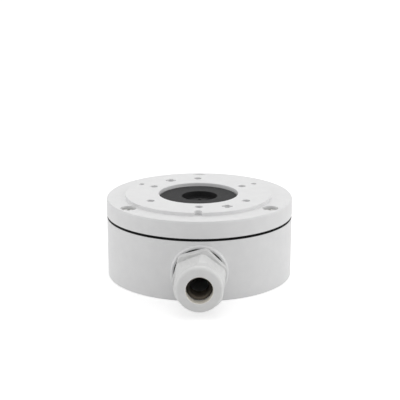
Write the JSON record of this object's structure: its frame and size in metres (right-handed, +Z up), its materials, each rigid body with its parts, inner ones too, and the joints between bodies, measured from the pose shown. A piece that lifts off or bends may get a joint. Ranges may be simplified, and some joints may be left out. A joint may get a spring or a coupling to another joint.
{
  "type": "camera junction box",
  "caption": "Round white cast junction box for a security camera, with a bolted cover, a central rubber cable grommet and a side cable gland.",
  "frame": {"origin": "centre of the flat underside, on the box's own axis", "axes": "+Z up through the cover, -Y along the cable gland, out of the box"},
  "size_m": [0.1, 0.1273, 0.0444],
  "materials": {
    "white_coat": "cast aluminium under a fine white powder coat",
    "black_rubber": "matte moulded rubber",
    "white_nylon": "smooth moulded nylon",
    "screw_steel": "plain stainless steel"
  },
  "bodies": {
    "housing": {"base": "white_coat", "cover": "white_coat", "gasket": "black_rubber", "cable_grommet": "black_rubber", "cover_screw_1": "screw_steel", "cover_screw_2": "screw_steel", "cover_screw_3": "screw_steel", "screw_seal_ring_1": "black_rubber", "screw_seal_ring_2": "black_rubber", "screw_seal_ring_3": "black_rubber", "gland_washer": "black_rubber", "gland_body": "white_nylon", "gland_locknut": "white_nylon"},
    "clamp_insert": {"gland_cage": "white_nylon", "gland_seal": "black_rubber"},
    "dome_nut": {"gland_dome_nut": "white_nylon"}
  },
  "joints": [
    {"name": "gland_nut_travel", "type": "slide", "parent": "housing", "child": "clamp_insert", "axis": [0, -1, 0], "range_m": [0, 0.0046]},
    {"name": "gland_nut_turn", "type": "hinge", "parent": "clamp_insert", "child": "dome_nut", "pos_m": [0, -0.0505, 0.0154], "axis": [0, -1, 0], "range_deg": [0, 1080]}
  ],
  "couplings": [
    {"joint": "gland_nut_travel", "follows": "gland_nut_turn", "m_per_rad": 0.00023873}
  ]
}
